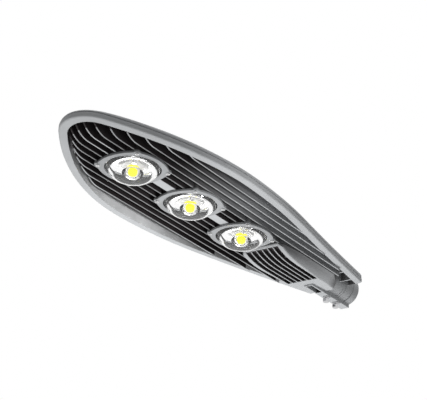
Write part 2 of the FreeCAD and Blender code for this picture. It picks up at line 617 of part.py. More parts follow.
def cover_shape():
    """Finned cover of the driver bay, with its chin, bar and screw bosses."""
    seam = rise("seam_rise") - mm("gasket_wall")
    gap = mm("flush")
    outer = cover_profile(0).common(tapered_bay(0, seam, gap))
    below = FACE - mm("cover_drop") / 2
    sides = edges_between(outer, lambda p: abs(p.y) > mm("foot_end_half") - 4 and p.z < below)
    long_edges = [e for e in sides if e.Length > 12 and abs(e.tangentAt(e.FirstParameter).x) > 0.5]
    outer = outer.makeFillet(mm("cover_edge_round"), long_edges)
    inside = cover_profile(mm("cover_slot_depth") + mm("cover_wall"))
    inside = inside.common(tapered_bay(mm("bay_wall"), seam + 1, mm("bay_wall")))
    cover = outer.cut(inside)

    # Boss bar with its pocket
    low = FACE - mm("bar_drop")
    front = mm("bar_front_x")
    bar = box(mm("bay_end_x") + gap, front, -mm("bar_half"), mm("bar_half"), low, FACE - mm("cover_chin_drop") + 2)
    cover = cover.fuse(bar)
    half = mm("bar_pocket_half")
    floor = FACE - mm("cover_drop") + mm("cover_slot_depth")
    cover = cover.cut(box(mm("bar_pocket_x"), front - mm("cover_wall"), -half, half, low - 1, floor))

    # Cooling slots between the converging ribs
    field = cover_profile(-5).cut(cover_profile(mm("cover_slot_depth")))
    field = field.common(box(mm("cover_slot_back_x"), mm("bay_front_x") - 3, -100, 100, LOW, seam - mm("cover_wall")))
    count = int(mm("cover_slots"))
    x0, x1 = mm("cover_slot_back_x") - 1, mm("bay_front_x")
    slots = []
    for k in range(count):
        place = k - count / 2
        ribs = mm("cover_rib") / 2
        points = [
            (x0, cover_slot_y(x0, place) + ribs),
            (x1, cover_slot_y(x1, place) + ribs),
            (x1, cover_slot_y(x1, place + 1) - ribs),
            (x0, cover_slot_y(x0, place + 1) - ribs),
        ]
        slots.append(polygon_prism(points, LOW, seam))
    cover = cover.cut(field.common(slots[0].multiFuse(slots[1:])))

    # Bosses that meet the housing's posts, and their passing holes
    top = rise("seam_rise") - mm("flush")
    for x, y, _ in posts()[:3]:
        cover = cover.fuse(rod_z(mm("post_radius"), x, y, floor, top))
        cover = cover.cut(rod_z(mm("screw_radius") + mm("screw_pass"), x, y, LOW, top + 1))
    return cover.removeSplitter()


def feature(label, shape):
    """A sub-part whose shape is worked out above."""
    obj = doc.addObject("Part::Feature", label)
    obj.Label = label
    obj.Shape = shape
    obj.Placement = Placement()
    SUBPARTS.append(obj)
    return obj


def bound(kind, name, bindings):
    """A document object with properties bound to the sheet."""
    obj = doc.addObject(kind, name)
    for prop, expression in bindings.items():
        obj.setExpression(prop, expression)
    return obj


def placed(x, y, z):
    """Bindings that put an object at a point given by expressions."""
    return {"Placement.Base.x": x, "Placement.Base.y": y, "Placement.Base.z": z}


def height_of(expression):
    """Expression for a height measured up from the lens frames' face."""
    return f"{expression} - sizes.face_depth"


def joined(label, pieces, keep=True):
    """Several solids as one sub-part: touching ones become one solid, others stay separate."""
    obj = doc.addObject("Part::MultiFuse", label)
    obj.Label = label
    obj.Shapes = pieces
    if keep:
        SUBPARTS.append(obj)
    return obj


def difference(label, base, tool, keep=True):
    """One solid less another."""
    obj = doc.addObject("Part::Cut", label)
    obj.Label = label
    obj.Base = base
    obj.Tool = tool
    if keep:
        SUBPARTS.append(obj)
    return obj


def upright_rod(name, radius, length, x, y, z):
    """Cylinder along Z bound to the sheet."""
    return bound("Part::Cylinder", name, {"Radius": radius, "Height": length, **placed(x, y, z)})


def small_screw(name, x, y, seat, length="sizes.screw_length"):
    """Hexagon-socket pan screw whose head bears on the height seat and whose shank points up."""
    head_z = f"{seat} - sizes.screw_head_wall"
    head = upright_rod(name + "_head", cell("screw_head_radius"), cell("screw_head_wall"), x, y, head_z)
    shank = upright_rod(name + "_shank", cell("screw_radius"), length, x, y, seat)
    whole = joined(name + "_blank", [head, shank], keep=False)
    socket = bound("Part::Prism", name + "_socket", {"Circumradius": cell("screw_socket"), **placed(x, y, head_z)})
    socket.Polygon = 6
    socket.setExpression("Height", "sizes.screw_head_wall * 0.6")
    return difference(name, whole, socket, keep=False)


SUBPARTS = []
feature("housing", housing_shape())
feature("driver_cover", cover_shape())


def sketch_on(body, name, role="XY_Plane"):
    """Sketch attached to one of the body's origin planes."""
    sketch = body.newObject("Sketcher::SketchObject", name)
    plane = [f for f in body.Origin.OriginFeatures if f.Role == role][0]
    sketch.AttachmentSupport = (plane, "")
    sketch.MapMode = "FlatFace"
    return sketch


def circle_in(sketch, radius, x="0", y="0"):
    """Circle whose radius and centre are bound to the sheet."""
    index = sketch.addGeometry(Part.Circle(Vector(1, 1, 0), Vector(0, 0, 1), 1))
    sketch.addConstraint(Sketcher.Constraint("Radius", index, 1))
    sketch.setExpression(f"Constraints[{len(sketch.Constraints) - 1}]", radius)
    for axis, value in (("DistanceX", x), ("DistanceY", y)):
        if value == "0":
            other = -2 if axis == "DistanceX" else -1
            sketch.addConstraint(Sketcher.Constraint("PointOnObject", index, 3, other))
        else:
            sketch.addConstraint(Sketcher.Constraint(axis, -1, 1, index, 3, 1))
            sketch.setExpression(f"Constraints[{len(sketch.Constraints) - 1}]", value)
    return index


def outline_in(sketch, points):
    """Closed outline of straight lines whose corners are pairs of expressions."""
    first, count = len(sketch.Geometry), len(points)
    seeds = [Vector(10 * math.cos(6.28 * k / count), 10 * math.sin(6.28 * k / count), 0) for k in range(count)]
    for k in range(count):
        sketch.addGeometry(Part.LineSegment(seeds[k], seeds[(k + 1) % count]))
    for k in range(count):
        sketch.addConstraint(Sketcher.Constraint("Coincident", first + k, 2, first + (k + 1) % count, 1))
    for k, (x, y) in enumerate(points):
        for axis, expression, seed in (("DistanceX", x, seeds[k].x), ("DistanceY", y, seeds[k].y)):
            sketch.addConstraint(Sketcher.Constraint(axis, -1, 1, first + k, 1, seed))
            sketch.setExpression(f"Constraints[{len(sketch.Constraints) - 1}]", expression)


def new_body(label):
    """Empty body that becomes a sub-part."""
    body = doc.addObject("PartDesign::Body", label)
    body.Label = label
    SUBPARTS.append(body)
    return body


def place_body(body, x, y, z):
    """Bind a body's position to the sheet."""
    for prop, expression in placed(x, y, z).items():
        body.setExpression(prop, expression)


def padded(label, draw, length, x, y, z):
    """Body made of one pad along Z."""
    body = new_body(label)
    sketch = sketch_on(body, label + "_outline")
    draw(sketch)
    pad = body.newObject("PartDesign::Pad", label + "_pad")
    pad.Profile = sketch
    pad.setExpression("Length", length)
    body.Tip = pad
    place_body(body, x, y, z)
    return body


def revolved(label, points, x, y, z):
    """Body turned about Z from a closed profile of (radius, height) expressions."""
    body = new_body(label)
    sketch = sketch_on(body, label + "_profile", "XZ_Plane")
    outline_in(sketch, points)
    turn = body.newObject("PartDesign::Revolution", label + "_turn")
    turn.Profile = sketch
    turn.ReferenceAxis = (sketch, ["V_Axis"])
    turn.Angle = 360
    body.Tip = turn
    place_body(body, x, y, z)
    return body


def lens_frame(name, x):
    """Square frame with bowed sides, four screw ears and a rebated round window."""
    discs = []
    offset = "sizes.cushion_radius - sizes.frame_bow"
    low = height_of("0")
    for k, (i, j) in enumerate(((1, 0), (-1, 0), (0, 1), (0, -1)), start=1):
        at = (f"{x} + {i} * ({offset})", f"{j} * ({offset})", low)
        discs.append(upright_rod(f"{name}_disc_{k}", cell("cushion_radius"), cell("frame_wall"), *at))
    plate = doc.addObject("Part::MultiCommon", name + "_plate")
    plate.Shapes = discs
    ears = []
    for k, (i, j) in enumerate(CORNERS, start=1):
        at = (f"{x} + {i} * sizes.screw_half", f"{j} * sizes.screw_half", low)
        ears.append(upright_rod(f"{name}_ear_{k}", cell("frame_ear"), cell("frame_wall"), *at))
    blank = joined(name + "_blank", [plate] + ears, keep=False)
    window = upright_rod(name + "_window", cell("lens_window"), cell("frame_wall"), x, "0", low)
    rebate_z = height_of("sizes.frame_wall - sizes.lens_flange_wall")
    rebate_r = "sizes.lens_flange + sizes.lens_gap"
    rebate = upright_rod(name + "_rebate", rebate_r, cell("lens_flange_wall"), x, "0", rebate_z)
    holes = []
    for k, (i, j) in enumerate(CORNERS, start=1):
        at = (f"{x} + {i} * sizes.screw_half", f"{j} * sizes.screw_half", low)
        radius = "sizes.screw_radius + sizes.screw_pass"
        holes.append(upright_rod(f"{name}_hole_{k}", radius, cell("frame_wall"), *at))
    return difference(name, blank, joined(name + "_openings", [window, rebate] + holes, keep=False))


PATCH_LOW = height_of("sizes.pocket_rise - sizes.board_wall - sizes.patch_wall")


def lens(name, x):
    """Glass lens: spherical face, round flange, and a round cavity centred on the light-emitting patch."""
    rim = cell("lens_dome")
    ball_radius = f"(pow({rim}; 2) + pow(sizes.lens_drop; 2)) / (2 * sizes.lens_drop)"
    flange_z = height_of("sizes.frame_wall - sizes.lens_flange_wall")
    flange = upright_rod(name + "_flange", cell("lens_flange"), cell("lens_flange_wall"), x, "0", flange_z)
    ball = bound("Part::Sphere", name + "_ball", {"Radius": ball_radius})
    for prop, expression in placed(x, "0", height_of(f"{ball_radius} - sizes.lens_drop")).items():
        ball.setExpression(prop, expression)
    drop = "sizes.lens_drop + sizes.frame_wall"
    core = upright_rod(name + "_core", rim, drop, x, "0", height_of("-sizes.lens_drop"))
    bulge = doc.addObject("Part::MultiCommon", name + "_bulge")
    bulge.Shapes = [ball, core]
    blank = joined(name + "_blank", [flange, bulge], keep=False)
    cavity = bound("Part::Sphere", name + "_cavity", {"Radius": cell("lens_cavity"), **placed(x, "0", PATCH_LOW)})
    relief_z = height_of("sizes.frame_wall - sizes.lens_relief_depth")
    relief = upright_rod(name + "_relief", cell("lens_relief"), cell("lens_relief_depth"), x, "0", relief_z)
    return difference(name, blank, joined(name + "_hollow", [cavity, relief], keep=False))


CORNERS = [(i, j) for i in SIDES for j in SIDES]

for number, index in enumerate(MODULES, start=1):
    station = f"sizes.module_x + {index} * sizes.module_pitch"
    lens_frame(f"lens_frame_{number}", station)
    lens(f"lens_{number}", station)
    seal_in = "sizes.lens_flange - sizes.gasket_width"
    revolved(
        f"lens_gasket_{number}",
        [
            (seal_in, "0"),
            (cell("lens_flange"), "0"),
            (cell("lens_flange"), cell("gasket_wall")),
            (seal_in, cell("gasket_wall")),
        ],
        station,
        "0",
        height_of("sizes.frame_wall"),
    )
    corners = []
    for k, (i, j) in enumerate(CORNERS, start=1):
        at = (f"{station} + {i} * sizes.screw_half", f"{j} * sizes.screw_half")
        corners.append(small_screw(f"frame_screw_{number}_{k}", *at, height_of("0")))
    joined(f"frame_screws_{number}", corners)

    def board_outline(sketch):
        half = cell("board_half")
        outline_in(sketch, [(half, half), (f"-{half}", half), (f"-{half}", f"-{half}"), (half, f"-{half}")])
        for side in SIDES:
            at = f"{side} * sizes.board_screw_half"
            circle_in(sketch, "sizes.screw_radius + sizes.screw_pass", at, at)

    board_z = "sizes.pocket_rise - sizes.board_wall"
    padded(f"cob_board_{number}", board_outline, cell("board_wall"), station, "0", height_of(board_z))
    padded(
        f"cob_phosphor_{number}",
        lambda sketch: circle_in(sketch, cell("patch_radius")),
        cell("patch_wall"),
        station,
        "0",
        PATCH_LOW,
    )
    pair = []
    for k, side in enumerate(SIDES, start=1):
        at = (f"{station} + {side} * sizes.board_screw_half", f"{side} * sizes.board_screw_half")
        pair.append(small_screw(f"cob_screw_{number}_{k}", *at, height_of(board_z)))
    joined(f"cob_screws_{number}", pair)
    collar = "sizes.tray_inner + sizes.tray_wall"
    depth = "(sizes.pocket_rise - sizes.flush - sizes.frame_wall)"
    revolved(
        f"reflector_{number}",
        [
            (cell("tray_inner"), depth),
            (collar, depth),
            (collar, f"{depth} - sizes.tray_collar"),
            (cell("tray_outer"), cell("tray_wall")),
            (cell("tray_outer"), "0"),
            (cell("tray_inner"), f"{depth} - sizes.tray_collar - sizes.tray_wall"),
        ],
        station,
        "0",
        height_of("sizes.frame_wall"),
    )

# Leads: driver to the nearest board, then board to board, each end laid on a board's back
near, middle, far = (f"(sizes.module_x + {i} * sizes.module_pitch)" for i in (-1, 0, 1))
lap = "sizes.board_half / 2"
LEADS = (
    (f"{middle} + {lap}", f"{far} - {lap}"),
    (f"{near} + {lap}", f"{middle} - {lap}"),
    (cell("driver_front_x"), f"{near} - {lap}"),
)
for number, (start, stop) in enumerate(LEADS, start=1):
    name = f"led_lead_{number}"
    lead = bound("Part::Cylinder", name, {"Radius": cell("lead_radius"), "Height": f"{stop} - ({start})"})
    lead.Placement = Placement(Vector(), Rotation(Vector(0, 1, 0), 90))
    for prop, expression in placed(start, "0", height_of("sizes.pocket_rise + sizes.lead_radius")).items():
        lead.setExpression(prop, expression)
    lead.Label = name
    SUBPARTS.append(lead)

# Driver with a fixing tab at each end
driver_x = "sizes.driver_front_x - sizes.driver_length"
case = bound(
    "Part::Box",
    "driver_case",
    {
        "Length": cell("driver_length"),
        "Width": "2 * sizes.driver_half",
        "Height": cell("driver_height"),
        **placed(driver_x, "-sizes.driver_half", height_of("sizes.driver_rise")),
    },
)
doc.recompute()
rounded = doc.addObject("Part::Fillet", "driver_rounded")
rounded.Base = case
rounded.Edges = [
    (k, mm("driver_round"), mm("driver_round"))
    for k, e in enumerate(case.Shape.Edges, start=1)
    if abs(e.tangentAt(0).x) > 0.9
]
tabs, tab_holes, driver_fixings = [], [], []
for k, side in enumerate(SIDES, start=1):
    start = cell("driver_front_x") if side > 0 else f"{driver_x} - sizes.driver_tab"
    tab_low = "sizes.driver_rise + sizes.driver_height - sizes.driver_tab_wall"
    spread = "(sizes.driver_half - sizes.driver_tab_y)"
    tabs.append(
        bound(
            "Part::Box",
            f"driver_tab_{k}",
            {
                "Length": cell("driver_tab"),
                "Width": f"2 * {spread}",
                "Height": cell("driver_tab_wall"),
                **placed(start, f"{side} * sizes.driver_tab_y - {spread}", height_of(tab_low)),
            },
        )
    )
    hole_x = f"{start} + sizes.driver_tab / 2"
    hole_y = f"{side} * sizes.driver_tab_y"
    radius = "sizes.screw_radius + sizes.screw_pass"
    at = (hole_x, hole_y, height_of(tab_low))
    tab_holes.append(upright_rod(f"driver_hole_{k}", radius, cell("driver_tab_wall"), *at))
    driver_fixings.append(small_screw(f"driver_screw_{k}", hole_x, hole_y, height_of(tab_low)))
driver_blank = joined("driver_blank", [rounded] + tabs, keep=False)
difference("led_driver", driver_blank, joined("driver_holes", tab_holes, keep=False))
joined("driver_screws", driver_fixings)

# Terminal block with three wire entries on its end
block = bound(
    "Part::Box",
    "terminal_case",
    {
        "Length": cell("terminal_length"),
        "Width": cell("terminal_width"),
        "Height": cell("terminal_height"),
        **placed(
            "sizes.terminal_x - sizes.terminal_length / 2",
            "sizes.terminal_y - sizes.terminal_width / 2",
            height_of("sizes.terminal_rise"),
        ),
    },
)
entries = []
for k in (-1, 0, 1):
    at = (
        "sizes.terminal_x",
        f"sizes.terminal_y + {k} * sizes.terminal_width / 3",
        height_of("sizes.terminal_rise"),
    )
    entries.append(upright_rod(f"terminal_entry_{k + 2}", "sizes.terminal_width / 8", "sizes.terminal_height / 3", *at))
difference("terminal_block", block, joined("terminal_entries", entries, keep=False))

earth = small_screw("earth_screw", cell("earth_x"), cell("earth_y"), height_of("sizes.earth_rise"))
SUBPARTS.append(earth)

# Screws of the cover: two in the outer slots, one in the bar's pocket
cover_fixings = []
cover_seat = height_of("sizes.cover_slot_depth - sizes.cover_drop")
outer_slot = "(sizes.bay_front_x - sizes.cover_screw_x) / (sizes.bay_front_x - sizes.cover_slot_back_x)"
field_half = f"(sizes.cover_slot_front_half + {outer_slot} * (sizes.cover_slot_back_half - sizes.cover_slot_front_half))"
slot_pitch = f"(2 * {field_half} + sizes.cover_rib) / sizes.cover_slots"
COVER_SCREWS = [(cell("cover_screw_x"), f"{side} * 2.5 * {slot_pitch}") for side in SIDES]
COVER_SCREWS.append((cell("cover_screw_back_x"), "0"))
for k, (x, y) in enumerate(COVER_SCREWS, start=1):
    cover_fixings.append(small_screw(f"cover_screw_{k}", x, y, cover_seat, cell("cover_screw_length")))
joined("cover_screws", cover_fixings)


def seal_outline(sketch):
    """Two outlines, one inside the other, that follow the bay's edge."""
    for inset in ("sizes.flush", "sizes.bay_wall - sizes.flush"):
        names = ("front", "cheek", "flank", "shoulder", "end")
        half = []
        for n in names:
            shift = {"front": f" - {inset}", "end": f" + {inset}"}.get(n, "")
            half.append((f"sizes.bay_{n}_x{shift}", f"sizes.bay_{n}_half - {inset}"))
        outline_in(sketch, half + [(x, f"-({y})") for x, y in reversed(half)])


padded("cover_gasket", seal_outline, cell("gasket_wall"), "0", "0", height_of("sizes.seam_rise - sizes.gasket_wall"))

# Pole bolts with their lock nuts, pointing down from the bar
for number in (1, 2):
    station = f"sizes.pole_bolt_x + {number - 1} * sizes.pole_bolt_pitch"
    nut_z = height_of("-sizes.bar_drop - sizes.pole_nut_wall")
    head_z = height_of("-sizes.bar_drop - sizes.pole_nut_wall - sizes.pole_head_gap - sizes.pole_head_wall")
    name = f"pole_bolt_{number}"
    hexagon = {"Circumradius": cell("pole_bolt_hex")}
    head = bound("Part::Prism", name + "_head", {**hexagon, "Height": cell("pole_head_wall"), **placed(station, "0", head_z)})
    head.Polygon = 6
    reach = (
        "sizes.face_depth + sizes.bar_drop + sizes.pole_nut_wall + sizes.pole_head_gap"
        " + sizes.pole_head_wall - sizes.bore_radius - sizes.pole_bolt_stop"
    )
    shank = upright_rod(name + "_shank", cell("pole_bolt_radius"), reach, station, "0", head_z)
    joined(name, [head, shank])
    name = f"pole_nut_{number}"
    nut = bound("Part::Prism", name + "_blank", {**hexagon, "Height": cell("pole_nut_wall"), **placed(station, "0", nut_z)})
    nut.Polygon = 6
    thread = "sizes.pole_bolt_radius + sizes.screw_fit"
    difference(name, nut, upright_rod(name + "_bore", thread, cell("pole_nut_wall"), station, "0", nut_z))

# Cable gland in the wall between the socket and the driver bay
wall_end = "(sizes.bay_end_x + sizes.bay_wall / 2)"


def hex_along_x(name, x, length):
    """Hexagonal bar along X on the bore axis."""
    piece = bound("Part::Prism", name, {"Circumradius": cell("gland_hex"), "Height": length})
    piece.Polygon = 6
    piece.Placement = Placement(Vector(), Rotation(Vector(0, 1, 0), 90))
    piece.setExpression("Placement.Base.x", x)
    return piece


def round_along_x(name, radius, x, length):
    """Round bar along X on the bore axis."""
    piece = bound("Part::Cylinder", name, {"Radius": radius, "Height": length})
    piece.Placement = Placement(Vector(), Rotation(Vector(0, 1, 0), 90))
    piece.setExpression("Placement.Base.x", x)
    return piece


body_x = "(sizes.gland_seat_x - sizes.gland_body)"
whole_x = "(sizes.gland_seat_x - sizes.gland_body - sizes.gland_cap)"
thread_length = f"{wall_end} + sizes.gland_nut_wall - sizes.gland_seat_x"
gland_parts = [
    hex_along_x("gland_body", body_x, cell("gland_body")),
    round_along_x("gland_cap", "sizes.gland_hex * 0.8", whole_x, cell("gland_cap")),
    round_along_x("gland_thread", cell("gland_radius"), cell("gland_seat_x"), thread_length),
    hex_along_x("gland_nut", wall_end, cell("gland_nut_wall")),
]
gland_blank = joined("gland_blank", gland_parts, keep=False)
through = f"{wall_end} + sizes.gland_nut_wall - {whole_x}"
difference("cable_gland", gland_blank, round_along_x("gland_passage", cell("gland_hole"), whole_x, through))

doc.recompute()
for obj in doc.Objects:
    bad = [state for state in obj.State if state in ("Invalid", "Error")]
    if bad:
        raise RuntimeError(f"{obj.Label}: {bad}")
os.makedirs("parts", exist_ok=True)
for obj in SUBPARTS:
    if obj.Shape.isNull() or not obj.Shape.isValid():
        raise RuntimeError(f"{obj.Label} has no valid shape")
    obj.Shape.exportStep(f"parts/{obj.Label}.step")
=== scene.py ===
"""Looks of a pole-mounted LED street light head, seen from below on white."""
import math
from functools import reduce

import bpy
import numpy as np
from mathutils import Matrix, Vector


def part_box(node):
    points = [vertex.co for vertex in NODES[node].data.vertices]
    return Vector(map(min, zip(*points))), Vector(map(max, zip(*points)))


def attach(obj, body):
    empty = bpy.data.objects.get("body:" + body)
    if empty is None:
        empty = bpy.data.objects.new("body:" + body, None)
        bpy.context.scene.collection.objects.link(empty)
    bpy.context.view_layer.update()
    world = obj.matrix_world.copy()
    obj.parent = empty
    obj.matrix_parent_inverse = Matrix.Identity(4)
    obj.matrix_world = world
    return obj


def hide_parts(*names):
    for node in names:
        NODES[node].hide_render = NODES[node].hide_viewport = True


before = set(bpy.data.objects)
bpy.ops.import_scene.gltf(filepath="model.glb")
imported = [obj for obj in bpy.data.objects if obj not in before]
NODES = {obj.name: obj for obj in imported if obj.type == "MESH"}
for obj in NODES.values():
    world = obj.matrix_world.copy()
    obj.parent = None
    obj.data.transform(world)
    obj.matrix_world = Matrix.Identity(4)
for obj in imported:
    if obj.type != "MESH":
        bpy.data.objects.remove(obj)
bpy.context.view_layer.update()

bl_info = {
    "name": "Street Light Head",
    "version": (1, 0, 0),
    "blender": (4, 5, 0),
    "location": "View3D > Sidebar > Street Light",
    "description": "Builds the finishes, lenses, stage and camera of a street light head",
    "category": "Object",
}

MODULES = (1, 2, 3)
TURN = 2 * math.pi

# Where the casting's coat takes painted shade and light, in metres; x runs from the pole end to the tip, z
# upwards.
# The rim's outer edge in plan: a straight neck, an arc to the widest place, an arc from there, and a round nose
NECK_HALF_WIDTH, NECK_SLOPE = 0.06065, 0.1856
NECK_END, WIDEST = 0.396, 0.605
WAIST_RADIUS, WAIST_CENTRE = 1.150, -0.9968
FLANK_RADIUS, FLANK_CENTRE = 0.470, -0.3168
NOSE_RADIUS, NOSE_CENTRE = 0.063, 0.8605
# Distances inwards from that edge: the walls behind the rim, the end of its flat band, the inner wall painted pale
# as painted light, with its foot, and the crests that take painted shade towards the middle
BEHIND_RIM, RIM_BAND = 0.011, (0.0158, 0.0166)
WALL_FACE, WALL_FOOT, WALL_REACH = 0.0135, 0.0172, 0.045
CREST_SHADE = (0.024, 0.045)
# Heights that the walls behind the rim start at and that the fins' crests stay under
RIM_LOW, CREST_HIGH = -0.022, -0.009
# The painted light on the inner wall ends at the tip, and the painted shade thins out beside the neck
TIP_END, NECK_SIDE, NECK_LENGTH = (0.86, 0.83), (0.03, 0.07), (0.72, 0.50)
# Upward part of a face's direction: -1 looks down, 0 is a wall
CREST_TILT, WALL_TILT, SHELL_TILT = -0.8, -0.02, 0.08
UPRIGHT, STEEP = 0.5, 0.7
# The row of lens seats, the bridges between them, and the pole socket
MODULE_PITCH, MIDDLE_MODULE = 0.171, 0.585
SEAT_ROW, SEAT_RADIUS = (0.35, 0.83), 0.0515
BRIDGE_HALF_WIDTH = 0.0099
SOCKET_LENGTH, SOCKET_HALF_WIDTH = 0.1025, 0.0356
# The driver cover's belly, an ellipse in side view, with its slots, the pocket in its chin and its foot: painted
# shade
BELLY_START, BELLY_LENGTH = 0.264, 0.085
BELLY_TOP, BELLY_DEPTH = -0.014, 0.0242
SLOT_DEPTH = (0.975, 0.945)
SLOT_START, SLOTS_HALF_WIDTH = 0.1805, 0.0385
FOOT_TILT = (-0.98, -0.5)
POCKET, POCKET_HALF_WIDTH, POCKET_FLOOR = (0.1118, 0.1553), 0.0068, -0.0398
COVER_FOOT = (-0.036, -0.027)

# Parts of the light modules and the bolts in millimetres
# The lens bars are painted reflection: dark bars behind the glass stand in for dark reflections in it
PAINTED_REFLECTION_BARS = ((-14, 30, -25.5, 2.6), (4, 37, -32.5, 1.6))
LENS_MOUTH, MOUTH_DEPTH = 24.5, 2.0
REFLECTOR_HOLE, REFLECTOR_RADIUS = 26.3, 48.0
BOLT_HEAD, BOLT_SHANK, THREAD_PITCH = 7.4, 4.0, 0.7

FLOOR_CENTRE, FLOOR_RADIUS = (0.46, 0, -4.8), 2.7
CAMERA_PLACE = (2.1718, 1.2188, -0.9407)
CAMERA_RIGHT = (-0.5725, 0.8184, 0.0499)
CAMERA_UP = (0.3713, 0.2045, 0.9057)
CAMERA_BACK = (0.7310, 0.5371, -0.4209)


# Surfaces
def add_piece(name, points, faces, material, smooth=True):
    """Mesh object from points in millimetres; it rides on the one body."""
    mesh = bpy.data.meshes.new(name)
    mesh.from_pydata((points / 1000).tolist(), [], faces)
    if smooth:
        mesh.shade_smooth()
    mesh.materials.append(material)
    piece = bpy.data.objects.new(name, mesh)
    bpy.context.scene.collection.objects.link(piece)
    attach(piece, "root")
    return piece


def ring_faces(rings, count):
    """Faces of a closed surface of stacked rings with one pole point before and one after them."""
    i, j = np.meshgrid(np.arange(rings - 1), np.arange(count), indexing="ij")
    k = (j + 1) % count
    quads = np.stack([i * count + k, (i + 1) * count + k, (i + 1) * count + j, i * count + j], -1)
    a, b = np.arange(count), (np.arange(count) + 1) % count
    low_pole, high_pole, top = rings * count, rings * count + 1, (rings - 1) * count
    first = np.stack([np.full(count, low_pole), b, a], -1)
    last = np.stack([np.full(count, high_pole), top + a, top + b], -1)
    return quads.reshape(-1, 4).tolist() + first.tolist() + last.tolist()


def turned(name, profile, centre, material, count=96, radius=None, smooth=True):
    """Surface of revolution: the point at angle a and station t lies at centre + (r cos a, r sin a, h).

    r and h come from the profile, whose two ends lie on the axis; radius(r, a) may change r with the angle.
    """
    profile = np.array(profile, float)
    a = np.linspace(0, TURN, count, endpoint=False)[None, :]
    r, h = profile[1:-1, :1], profile[1:-1, 1:]
    reach = radius(r, a) if radius else r + 0 * a
    points = np.stack([reach * np.cos(a), reach * np.sin(a), h + 0 * a], -1).reshape(-1, 3)
    poles = [[0, 0, profile[0, 1]], [0, 0, profile[-1, 1]]]
    points = np.vstack([points, poles]) + np.array(centre)
    return add_piece(name, points, ring_faces(len(profile) - 2, count), material, smooth)


def hexagon(across):
    """Radius of a hexagonal head: the smaller of the profile's radius and the distance to the nearest flat.

    That distance is the half-width across flats divided by the cosine of the angle to the flat's middle.
    """

    def radius(r, a):
        return np.minimum(r, across / np.cos((a + TURN / 12) % (TURN / 6) - TURN / 12))

    return radius


def bowl(name, points, centre, material, count=144, facets=24):
    """Ring with a closed section, pressed into flat facets.

    The point at section station t and angle a lies as far out as the flat facet there: the section's radius times
    the cosine of half a facet's angle, divided by the cosine of the angle to the facet's middle.
    """
    r, h = np.array(points, float).T[:, :, None]
    a = np.linspace(0, TURN, count, endpoint=False)[None, :]
    half = TURN / facets / 2
    reach = r * math.cos(half) / np.cos(a % (2 * half) - half)
    grid = np.stack([reach * np.cos(a), reach * np.sin(a), h + 0 * a], -1)
    rows = len(points)
    i, j = np.meshgrid(np.arange(rows), np.arange(count), indexing="ij")
    u, k = (i + 1) % rows, (j + 1) % count
    faces = np.stack([i * count + k, u * count + k, u * count + j, i * count + j], -1).reshape(-1, 4)
    return add_piece(name, grid.reshape(-1, 3) + np.array(centre), faces.tolist(), material, False)


def strip(name, low, high, material):
    """Flat bar between two corners: the point at (u, v, w) is low + (high - low)(u, v, w), each 0 or 1."""
    unit = np.stack(np.meshgrid([0, 1], [0, 1], [0, 1], indexing="ij"), -1).reshape(-1, 3)
    points = np.array(low) + unit * (np.array(high) - np.array(low))
    faces = [(0, 1, 3, 2), (4, 6, 7, 5), (0, 4, 5, 1), (2, 3, 7, 6), (0, 2, 6, 4), (1, 5, 7, 3)]
    return add_piece(name, points, faces, material, False)


def lens_section(bottom, back, patch, flange, dome, depth, cavity):
    """Section of a lens, from the bulge's bottom round its flange to the top of its hollow.

    The bulge rises from its bottom by its depth times the fourth power of the radius over the dome's radius. The
    flange has small chamfers. The hollow is an arc of a circle that is centred on the axis at the height of the
    light-emitting patch.
    """
    face = bottom + depth
    r = np.linspace(0, dome, 40)
    profile = np.stack([r, bottom + depth * (r / dome) ** 4.0], -1).tolist()
    profile += [(dome + 0.4, face + 0.9), (flange - 0.3, face + 1.0), (flange, face + 1.3), (flange, back - 0.2)]
    profile += [(flange - 0.3, back), (LENS_MOUTH, back), (LENS_MOUTH - 0.1, back - MOUTH_DEPTH)]
    turn = np.linspace(math.asin((patch - back + MOUTH_DEPTH) / cavity), TURN / 4, 28)
    profile += np.stack([cavity * np.cos(turn), patch - cavity * np.sin(turn)], -1).tolist()
    profile[-1][0] = 0.0
    return profile


def thread(radius, start, end):
    """Section of a screw's grooves: the radius falls and rises as a cosine wave by a third of the pitch."""
    h = np.linspace(start + 0.05, end - 0.05, 7)
    r = radius - 0.1 - THREAD_PITCH / 6 * (1 - np.cos(TURN * (h - start) / THREAD_PITCH))
    return np.stack([r, h], -1).tolist()


